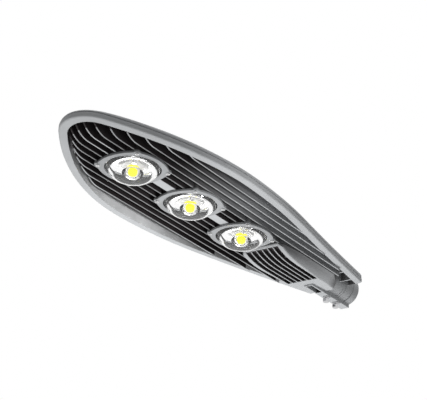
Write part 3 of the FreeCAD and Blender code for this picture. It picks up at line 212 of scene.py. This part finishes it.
# Materials
class Finish:
    """Material under construction: each method adds a node and returns its output."""

    def __init__(self, name):
        self.material = bpy.data.materials.new(name)
        self.material.use_nodes = True
        self.nodes, self.links = self.material.node_tree.nodes, self.material.node_tree.links
        coordinates = self.nodes.new("ShaderNodeTexCoord")
        self.place, self.normal = coordinates.outputs["Object"], coordinates.outputs["Normal"]

    def noise(self, scale, detail=4.0):
        """Noise on the Object coordinates."""
        texture = self.nodes.new("ShaderNodeTexNoise")
        texture.inputs["Scale"].default_value = scale
        texture.inputs["Detail"].default_value = detail
        texture.inputs["Roughness"].default_value = 0.55
        self.links.new(self.place, texture.inputs["Vector"])
        return texture.outputs["Fac"]

    def ramp(self, factor, low, high):
        """Runs from the low colour at 0.3 to the high one at 0.7."""
        node = self.nodes.new("ShaderNodeValToRGB")
        for element, position, colour in zip(node.color_ramp.elements, (0.3, 0.7), (low, high)):
            element.position = position
            element.color = (*colour, 1)
        self.links.new(factor, node.inputs["Fac"])
        return node.outputs["Color"]

    def tone(self, factor, colour, darkest, lightest):
        """A colour that varies between a darker and a lighter version of itself."""
        return self.ramp(factor, *[tuple(c * share for c in colour) for share in (darkest, lightest)])

    def bump(self, height, strength, distance):
        """Bump from a height."""
        node = self.nodes.new("ShaderNodeBump")
        node.inputs["Strength"].default_value = strength
        node.inputs["Distance"].default_value = distance
        self.links.new(height, node.inputs["Height"])
        return node.outputs["Normal"]

    def mix(self, factor, colour, other):
        """The other colour where the factor is 1."""
        node = self.nodes.new("ShaderNodeMix")
        node.data_type = "RGBA"
        self.links.new(factor, node.inputs["Factor"])
        self.links.new(colour, node.inputs["A"])
        self.links.new(other, node.inputs["B"])
        return node.outputs["Result"]

    def shade(self, values):
        """Put numbers and colours on the shader's sockets, link outputs to them, and return the material."""
        inputs = self.nodes["Principled BSDF"].inputs
        for name, value in values.items():
            if isinstance(value, bpy.types.NodeSocket):
                self.links.new(value, inputs[name])
            else:
                inputs[name].default_value = value
        return self.material


class Sums:
    """Math nodes written as sums: each call adds one node and returns its output."""

    def __init__(self, finish):
        self.nodes, self.links = finish.nodes, finish.links

    def __call__(self, kind, *values):
        node = self.nodes.new("ShaderNodeMath")
        node.operation = kind
        for socket, value in zip(node.inputs, values):
            if isinstance(value, (int, float)):
                socket.default_value = value
            else:
                self.links.new(value, socket)
        return node.outputs[0]

    def split(self, vector):
        """The three parts of a vector."""
        node = self.nodes.new("ShaderNodeSeparateXYZ")
        self.links.new(vector, node.inputs["Vector"])
        return node.outputs["X"], node.outputs["Y"], node.outputs["Z"]

    def step(self, value, low, high):
        """Rises from 0 to 1 as the value goes from low to high."""
        node = self.nodes.new("ShaderNodeMapRange")
        for name, number in (("From Min", low), ("From Max", high), ("To Min", 0.0), ("To Max", 1.0)):
            node.inputs[name].default_value = number
        self.links.new(value, node.inputs["Value"])
        return node.outputs["Result"]

    def above(self, value, limit):
        """1 where the value is above the limit."""
        return self("GREATER_THAN", value, limit)

    def below(self, value, limit):
        """1 where the value is below the limit."""
        return self("LESS_THAN", value, limit)

    def between(self, value, low, high):
        """1 where the value lies between the limits."""
        return self.both(self.above(value, low), self.below(value, high))

    def both(self, *masks):
        """1 where all masks are: their product."""
        return reduce(lambda a, b: self("MULTIPLY", a, b), masks)

    def either(self, *masks):
        """1 where one of the masks is: the largest of them."""
        return reduce(lambda a, b: self("MAXIMUM", a, b), masks)

    def unless(self, mask, share=1.0):
        """1 less a share of the mask."""
        return self("SUBTRACT", 1.0, self("MULTIPLY", mask, share))

    def pick(self, switch, off, on):
        """The second value where the switch is 1, else the first."""
        return self("ADD", off, self("MULTIPLY", switch, self("SUBTRACT", on, off)))

    def length(self, along, across):
        """Square root of the sum of two squares."""
        return self("SQRT", self("MULTIPLY_ADD", along, along, self("MULTIPLY", across, across)))


def inset_from_rim(do, x, y):
    """Distance in metres from the rim's outer edge inwards, with y the distance from the middle plane."""
    neck = do("SUBTRACT", do("MULTIPLY_ADD", x, NECK_SLOPE, NECK_HALF_WIDTH), y)
    neck = do("MULTIPLY", neck, math.cos(math.atan(NECK_SLOPE)))
    along = do("SUBTRACT", x, WIDEST)
    waist = do("SUBTRACT", WAIST_RADIUS, do.length(along, do("SUBTRACT", y, WAIST_CENTRE)))
    flank = do("SUBTRACT", FLANK_RADIUS, do.length(along, do("SUBTRACT", y, FLANK_CENTRE)))
    ahead = do("SUBTRACT", x, NOSE_CENTRE)
    nose = do("SUBTRACT", NOSE_RADIUS, do.length(ahead, y))
    meeting = do("MULTIPLY", ahead, FLANK_CENTRE / (WIDEST - NOSE_CENTRE))
    tail = do.pick(do.above(x, NECK_END), neck, waist)
    front = do.pick(do("LESS_THAN", y, meeting), flank, nose)
    return do.pick(do.above(x, WIDEST), tail, front)


def in_seats(do, x, y):
    """1 inside the round lens seats, which stand in a row at even distances."""
    half = MODULE_PITCH / 2
    along = do("SUBTRACT", do("PINGPONG", do("SUBTRACT", x, MIDDLE_MODULE - half), half), half)
    return do.both(do.below(do.length(along, y), SEAT_RADIUS), do.between(x, *SEAT_ROW))


def housing_painted_shade(finish):
    """Masks for the casting's coat: painted shade, and painted light that makes the inner wall look lit.

    The walls between the fins get painted shade. Crests, rim, shell, lens seats and socket keep the plain coat.
    The crests take a little painted shade away from the rim, and beside the neck on one side the painted shade
    thins out to a grey. The painted light lies on the upright inner wall of the other side.
    """
    do = Sums(finish)
    x, side, z = do.split(finish.place)
    tilt = do.split(finish.normal)[2]
    slope, y = do("ABSOLUTE", tilt), do("ABSOLUTE", side)
    inset = inset_from_rim(do, x, y)

    # Painted shade on the walls behind the rim and between the fins
    behind_rim = do.both(do.above(inset, BEHIND_RIM), do.below(slope, UPRIGHT), do.above(z, RIM_LOW))
    inside = do.either(do.step(inset, *RIM_BAND), behind_rim)

    # Painted light: the upright inner wall on one side gets a pale colour so that it looks lit
    wall = do.both(do.below(inset, WALL_REACH), do.below(tilt, WALL_TILT))
    wall = do.either(wall, do.below(inset, WALL_FOOT))
    wall = do.both(wall, do.below(side, 0.0), do.above(inset, WALL_FACE), do.below(slope, STEEP))
    wall = do.both(wall, do.step(x, *TIP_END))

    socket = do.both(do.below(x, SOCKET_LENGTH), do.below(y, SOCKET_HALF_WIDTH))
    crest = do.both(do.below(tilt, CREST_TILT), do.below(z, CREST_HIGH))
    # The crests take a little painted shade away from the rim
    inner_crest = do.both(do.step(inset, *CREST_SHADE), do.above(y, BRIDGE_HALF_WIDTH))
    crest = do("SUBTRACT", crest, do("MULTIPLY", inner_crest, 0.55))
    bare = do.either(in_seats(do, x, y), socket, crest, wall, do.above(tilt, SHELL_TILT))

    # Beside the neck the painted shade thins out to a grey
    fade = do.both(do.step(side, *NECK_SIDE), do.step(x, *NECK_LENGTH))
    return do.both(inside, do.unless(bare), do.unless(fade, 0.75)), wall


def cover_painted_shade(finish):
    """Mask of painted shade on the driver cover's coat: 1 inside its slots, a little below their edges, and inside
    its pocket.

    Up the cover's foot the painted shade darkens the coat by a share.
    """
    do = Sums(finish)
    x, side, z = do.split(finish.place)
    tilt = do.split(finish.normal)[2]
    y = do("ABSOLUTE", side)
    ahead = do("MAXIMUM", do("DIVIDE", do("SUBTRACT", x, BELLY_START), BELLY_LENGTH), 0.0)
    under = do("DIVIDE", do("SUBTRACT", z, BELLY_TOP), BELLY_DEPTH)
    # Painted shade inside the slots, a little below their edges, and in the pocket
    deep = do.step(do.length(ahead, under), *SLOT_DEPTH)
    slots = do.both(deep, do.below(y, SLOTS_HALF_WIDTH), do.above(x, SLOT_START))
    pocket = do.both(do.below(y, POCKET_HALF_WIDTH), do.above(z, POCKET_FLOOR), do.between(x, *POCKET))
    # Painted shade up the cover's foot
    foot_shade = do.both(do.step(z, *COVER_FOOT), do.step(tilt, *FOOT_TILT), 0.6)
    return (do.either(slots, pocket, foot_shade),)


def powder_coat(name, colour, masks=None, others=()):
    """Satin coat: fine orange-peel bump, soft edges, faint cloudiness, and painted shade and light as the masks
    say.
    """
    finish = Finish(name)
    cloud = finish.noise(22.0)
    base = finish.tone(cloud, colour, 0.94, 1.05)
    if masks:
        for mask, other in zip(masks(finish), others):
            base = finish.mix(mask, base, finish.tone(cloud, other, 0.8, 1.1))
    peel = finish.bump(finish.noise(1400.0, 2.0), 0.1, 0.0001)
    edge = finish.nodes.new("ShaderNodeBevel")
    edge.samples = 6
    edge.inputs["Radius"].default_value = 0.0016
    finish.links.new(edge.outputs["Normal"], peel.node.inputs["Normal"])
    rough = finish.ramp(cloud, (0.51,) * 3, (0.60,) * 3)
    return finish.shade(
        {"Base Color": base, "Roughness": rough, "Normal": peel, "Metallic": 0.0, "Specular IOR Level": 0.35}
    )


def metal(name, colour, roughness, metallic=1.0):
    """Bare metal with a fine uneven gloss."""
    finish = Finish(name)
    grain = finish.noise(500.0, 3.0)
    rough = finish.ramp(grain, (roughness * 0.8,) * 3, (roughness * 1.25,) * 3)
    return finish.shade(
        {"Base Color": finish.tone(grain, colour, 0.9, 1.05), "Roughness": rough, "Metallic": metallic}
    )


def plain(name, colour, roughness, scale=60.0, depth=0.2, glow=0.0):
    """Moulded plastic, rubber or coating with a faint mottle; it may glow white."""
    finish = Finish(name)
    mottle = finish.noise(scale)
    tone = finish.tone(mottle, colour, 1 - depth, 1 + depth / 2)
    finish.shade({"Base Color": tone, "Normal": finish.bump(mottle, 0.2, 0.0002), "Roughness": roughness})
    return finish.shade({"Emission Color": (1, 1, 1, 1), "Emission Strength": glow})


def clear_glass(name):
    """Pressed clear glass: faint waves in the surface from the mould."""
    finish = Finish(name)
    waves = finish.bump(finish.noise(40.0, 1.0), 0.04, 0.001)
    finish.shade({"Normal": waves, "Base Color": (1, 1, 1, 1), "Roughness": 0.0})
    return finish.shade({"IOR": 1.6, "Transmission Weight": 1.0})


def phosphor(name, glow):
    """Yellow resin over the light source: grainy, matt, and with a faint even glow that is painted light."""
    finish = Finish(name)
    colour = finish.ramp(finish.noise(900.0, 3.0), (0.9, 0.78, 0.0), (1.0, 0.92, 0.0))
    finish.shade({"Base Color": colour, "Roughness": 0.8, "Specular IOR Level": 0.1})
    return finish.shade({"Emission Color": (1, 0.96, 0, 1), "Emission Strength": glow})


# CAD nodes
def dress(names, material):
    """Give CAD nodes one material."""
    for name in names:
        for slot in NODES[name].material_slots:
            slot.material = material


def numbered(stem):
    """Names of the three modules' like nodes."""
    return [f"{stem}_{k}" for k in MODULES]


def soften(names, width):
    """Small rounded edges on CAD nodes."""
    for name in names:
        bevel = NODES[name].modifiers.new("soft_edges", "BEVEL")
        bevel.width = width
        bevel.segments = 2
        bevel.limit_method = "ANGLE"
        bevel.angle_limit = math.radians(50)


def extent(node):
    """Middle, low corner and high corner of a node's box in millimetres."""
    low, high = (np.array(corner) * 1000 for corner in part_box(node))
    return (low + high) / 2, low, high


# The add-on's settings and steps
class StreetLightSettings(bpy.types.PropertyGroup):
    """Colours, lens and camera of the scene."""

    coat: bpy.props.FloatVectorProperty(
        name="Coat", description="Colour of the coated casting", subtype="COLOR", default=(0.40, 0.41, 0.42)
    )
    # Painted shade: the dark colour put between the fins and in the driver cover's slots, pocket and foot
    recess_shade: bpy.props.FloatVectorProperty(
        name="Recess", description="Colour between the fins", subtype="COLOR", default=(0.026, 0.022, 0.023)
    )
    # Painted light: the pale colour that makes the wall inside the rim look lit
    inner_wall_light: bpy.props.FloatVectorProperty(
        name="Inner wall", description="Colour of the wall inside the rim", subtype="COLOR",
        default=(0.8, 0.81, 0.82),
    )
    # The patches' glow is painted light
    patch_glow: bpy.props.FloatProperty(
        name="Patch glow", description="Light given off by the yellow patches", subtype="FACTOR",
        default=0.6, min=0.0, max=1.0,
    )
    dome_radius: bpy.props.FloatProperty(
        name="Dome radius", description="Radius of a lens's bulge", default=0.0485, unit="LENGTH"
    )
    bulge_depth: bpy.props.FloatProperty(
        name="Bulge depth", description="How far a lens bulges down", default=0.022, unit="LENGTH"
    )
    cavity_radius: bpy.props.FloatProperty(
        name="Cavity radius", description="Radius of the round hollow behind a lens", default=0.016, unit="LENGTH"
    )
    focal_length: bpy.props.FloatProperty(
        name="Focal length", description="Focal length of the camera", default=99.8, unit="CAMERA"
    )


class STREETLIGHT_OT_finishes(bpy.types.Operator):
    """Give each CAD node its finish"""

    bl_idname = "streetlight.finishes"
    bl_label = "Finishes"

    def execute(self, context):
        settings = context.scene.street_light
        coat, recess_shade, inner_wall_light = tuple(settings.coat), tuple(settings.recess_shade), tuple(settings.inner_wall_light)
        black = (0.02, 0.02, 0.02)
        # The casting's coat takes painted shade and painted light, the cover's coat painted shade
        dress(["housing"], powder_coat("housing_coat", coat, housing_painted_shade, (recess_shade, inner_wall_light)))
        dress(["driver_cover"], powder_coat("cover_coat", coat, cover_painted_shade, (recess_shade,)))
        darker = tuple(0.75 * c for c in coat)
        dress(numbered("lens_frame"), powder_coat("frame_coat", darker))
        screws = numbered("frame_screws")
        hidden_screws = numbered("cob_screws") + ["driver_screws", "cover_screws", "earth_screw"]
        dress(screws + hidden_screws, metal("stainless", (0.78, 0.78, 0.78), 0.16))
        dress(["led_driver"], metal("anodised_case", (0.6, 0.61, 0.62), 0.4))
        dress(numbered("cob_board"), plain("board_white", (0.85, 0.85, 0.83), 0.3, depth=0.04))
        dress(numbered("lens_gasket") + ["cover_gasket"], plain("seal_black", black, 0.7))
        dress(["terminal_block"], plain("terminal_white", (0.8, 0.8, 0.76), 0.35))
        dress(["cable_gland"], plain("gland_black", black, 0.45))
        dress(numbered("led_lead"), plain("sleeve_red", (0.5, 0.03, 0.02), 0.5))
        soften(numbered("lens_frame"), 0.0006)
        soften(screws, 0.0004)
        return {"FINISHED"}


class STREETLIGHT_OT_lenses(bpy.types.Operator):
    """Make the three glass lenses and, as painted reflection, the dark bars in their backs"""

    bl_idname = "streetlight.lenses"
    bl_label = "Lenses"

    def execute(self, context):
        settings = context.scene.street_light
        sizes = [1000 * size for size in (settings.dome_radius, settings.bulge_depth, settings.cavity_radius)]
        glass = clear_glass("lens_glass")
        black = plain("painted_reflection_black", (0.02, 0.02, 0.02), 0.5)
        for k in MODULES:
            (x, y, _), (_, _, bottom), (edge, _, back) = extent(f"lens_{k}")
            patch = extent(f"cob_phosphor_{k}")[1][2]
            section = lens_section(bottom, back, patch, edge - x, *sizes)
            body = turned(f"lens_body_{k}", section, (x, y, 0), glass, 128)
            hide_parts(f"lens_{k}")
            # Dark bars behind the glass: painted reflection
            for n, (start, end, side, width) in enumerate(PAINTED_REFLECTION_BARS):
                low = (x + start, y + side, back - 0.3)
                strip(f"lens_reflection_bar_{k}_{n}", low, (x + end, y + side + width, back + 0.05), black)
        return {"FINISHED"}


class STREETLIGHT_OT_reflectors(bpy.types.Operator):
    """Make the three faceted reflectors behind the lenses"""

    bl_idname = "streetlight.reflectors"
    bl_label = "Reflectors"

    def execute(self, context):
        bright = metal("bright_aluminium", (0.95, 0.95, 0.95), 0.25, metallic=0.25)
        hole, reach = REFLECTOR_HOLE, REFLECTOR_RADIUS
        for k in MODULES:
            (x, y, _), (_, _, low), (_, _, high) = extent(f"reflector_{k}")
            points = [(hole, low + 2.2), (reach, low), (reach, low + 0.8), (hole + 0.8, low + 3.0)]
            points += [(hole + 0.8, high), (hole, high)]
            tray = bowl(f"reflector_bowl_{k}", points, (x, y, 0), bright)
            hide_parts(f"reflector_{k}")
        return {"FINISHED"}


class STREETLIGHT_OT_light_sources(bpy.types.Operator):
    """Make the three yellow patches with the raised ring round each"""

    bl_idname = "streetlight.light_sources"
    bl_label = "Light sources"

    def execute(self, context):
        yellow = phosphor("phosphor_yellow", context.scene.street_light.patch_glow)
        for k in MODULES:
            (x, y, _), (_, _, low), (edge, _, high) = extent(f"cob_phosphor_{k}")
            reach = edge - x
            points = [(0, low), (reach - 2.0, low + 0.05), (reach - 1.4, low + 0.3), (reach - 0.5, low + 0.1)]
            points += [(reach, low + 0.4), (reach, high), (0, high)]
            patch = turned(f"phosphor_{k}", points, (x, y, 0), yellow, 64)
            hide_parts(f"cob_phosphor_{k}")
        return {"FINISHED"}


class STREETLIGHT_OT_pole_bolts(bpy.types.Operator):
    """Make the two clamping bolts and their lock nuts"""

    bl_idname = "streetlight.pole_bolts"
    bl_label = "Pole bolts"

    def execute(self, context):
        chrome = metal("bolt_chrome", (0.55, 0.55, 0.56), 0.12)
        for k in (1, 2):
            (x, y, _), (left, side, low), (_, _, high) = extent(f"pole_bolt_{k}")
            _, (_, _, nut_low), (_, _, nut_high) = extent(f"pole_nut_{k}")
            corner, across, shank, top = x - left, y - side, BOLT_SHANK, low + BOLT_HEAD
            points = [(0, low), (across - 0.6, low), (corner, low + 1.0), (corner, top - 0.6), (corner - 0.8, top)]
            points += thread(shank, top, nut_low)
            points += [(shank - 0.1, nut_low), (shank - 0.1, high - 0.6), (shank - 0.6, high), (0, high)]
            bolt = turned(f"clamp_bolt_{k}", points, (x, y, 0), chrome, 96, hexagon(across), False)
            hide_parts(f"pole_bolt_{k}")
            points = [(0, nut_low + 0.01), (across - 0.4, nut_low), (corner, nut_low + 0.7)]
            points += [(corner, nut_high - 0.7), (across - 0.4, nut_high), (0, nut_high)]
            nut = turned(f"lock_nut_{k}", points, (x, y, 0), chrome, 96, hexagon(across), False)
            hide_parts(f"pole_nut_{k}")
        return {"FINISHED"}


class STREETLIGHT_OT_stage(bpy.types.Operator):
    """Add the surroundings, the floor, the lamps and the camera"""

    bl_idname = "streetlight.stage"
    bl_label = "Stage"

    def execute(self, context):
        scene = context.scene
        scene.view_settings.view_transform = "Standard"
        self.surroundings(scene)
        self.floor(scene)
        self.soft_lamp("under", (0.2, -0.9, -1.5), (0.4, 0, 0), 1.2, 33)
        self.beam("flank", (0.62, 1.0, -0.55), (0.60, -0.13, -0.01), 15, 34)
        self.soft_lamp("ceiling", (0.46, 0, 2.2), (0.46, 0, 0), 2.5, 60)
        self.camera(scene)
        return {"FINISHED"}

    def surroundings(self, scene):
        """White all round, but dimmer as a light on matt surfaces, so that the lamp keeps its greys."""
        world = bpy.data.worlds.new("studio")
        scene.world = world
        world.use_nodes = True
        nodes, links = world.node_tree.nodes, world.node_tree.links
        ray = nodes.new("ShaderNodeLightPath")
        white, dim = nodes["Background"], nodes.new("ShaderNodeBackground")
        mix = nodes.new("ShaderNodeMixShader")
        white.inputs["Color"].default_value = (1, 1, 1, 1)
        dim.inputs["Color"].default_value = (1, 1, 1, 1)
        dim.inputs["Strength"].default_value = 0.29
        links.new(ray.outputs["Is Diffuse Ray"], mix.inputs["Fac"])
        links.new(white.outputs["Background"], mix.inputs[1])
        links.new(dim.outputs["Background"], mix.inputs[2])
        links.new(mix.outputs["Shader"], nodes["World Output"].inputs["Surface"])

    def floor(self, scene):
        """Round white floor far below: the edge point at angle a is the centre + the radius (cos a, sin a)."""
        x, y, z = FLOOR_CENTRE
        a = np.linspace(0, TURN, 96, endpoint=False)
        edge = np.stack([x + FLOOR_RADIUS * np.cos(a), y + FLOOR_RADIUS * np.sin(a), z + 0 * a], -1)
        mesh = bpy.data.meshes.new("floor")
        mesh.from_pydata(edge.tolist(), [], [list(range(len(edge)))])
        mesh.materials.append(plain("floor_white", (0.8, 0.8, 0.8), 0.8, 3.0, 0.01, glow=0.72))
        floor = bpy.data.objects.new("floor", mesh)
        scene.collection.objects.link(floor)

    def beam(self, name, place, target, width, power):
        """Round beam of light, width degrees wide."""
        light = bpy.data.lights.new(name, "SPOT")
        light.spot_size = math.radians(width)
        light.spot_blend = 0.6
        light.shadow_soft_size = 0.1
        self.aim(light, place, target, power)

    def soft_lamp(self, name, place, target, size, power):
        """Square soft light, kept out of reflections, where it would lie over the yellow patches."""
        light = bpy.data.lights.new(name, "AREA")
        light.size = size
        self.aim(light, place, target, power).visible_glossy = False

    def aim(self, light, place, target, power):
        """Put a light at a place, pointing at a target."""
        light.energy = power
        lamp = bpy.data.objects.new(light.name, light)
        lamp.location = place
        lamp.rotation_euler = (Vector(target) - Vector(place)).to_track_quat("-Z", "Y").to_euler()
        bpy.context.scene.collection.objects.link(lamp)
        return lamp

    def camera(self, scene):
        """Camera at the photograph's viewing angle."""
        camera = bpy.data.objects.new("camera", bpy.data.cameras.new("camera"))
        scene.collection.objects.link(camera)
        camera.data.lens = scene.street_light.focal_length
        camera.data.sensor_width = 36.0
        camera.data.clip_end = 100.0
        turn = Matrix((CAMERA_RIGHT, CAMERA_UP, CAMERA_BACK)).transposed().to_4x4()
        camera.matrix_world = Matrix.Translation(CAMERA_PLACE) @ turn
        scene.camera = camera


class STREETLIGHT_PT_panel(bpy.types.Panel):
    """Lists the settings and the steps"""

    bl_idname = "STREETLIGHT_PT_panel"
    bl_label = "Street Light"
    bl_space_type = "VIEW_3D"
    bl_region_type = "UI"
    bl_category = "Street Light"

    def draw(self, context):
        for name in StreetLightSettings.__annotations__:
            self.layout.prop(context.scene.street_light, name)
        for step in STEPS:
            self.layout.operator(step.bl_idname)


STEPS = (
    STREETLIGHT_OT_finishes,
    STREETLIGHT_OT_lenses,
    STREETLIGHT_OT_reflectors,
    STREETLIGHT_OT_light_sources,
    STREETLIGHT_OT_pole_bolts,
    STREETLIGHT_OT_stage,
)
CLASSES = (StreetLightSettings, *STEPS, STREETLIGHT_PT_panel)


def register():
    for cls in CLASSES:
        bpy.utils.register_class(cls)
    bpy.types.Scene.street_light = bpy.props.PointerProperty(type=StreetLightSettings)


def unregister():
    del bpy.types.Scene.street_light
    for cls in reversed(CLASSES):
        bpy.utils.unregister_class(cls)


def main():
    register()
    bpy.ops.streetlight.finishes()
    bpy.ops.streetlight.lenses()
    bpy.ops.streetlight.reflectors()
    bpy.ops.streetlight.light_sources()
    bpy.ops.streetlight.pole_bolts()
    bpy.ops.streetlight.stage()


if __name__ == "__main__":
    main()
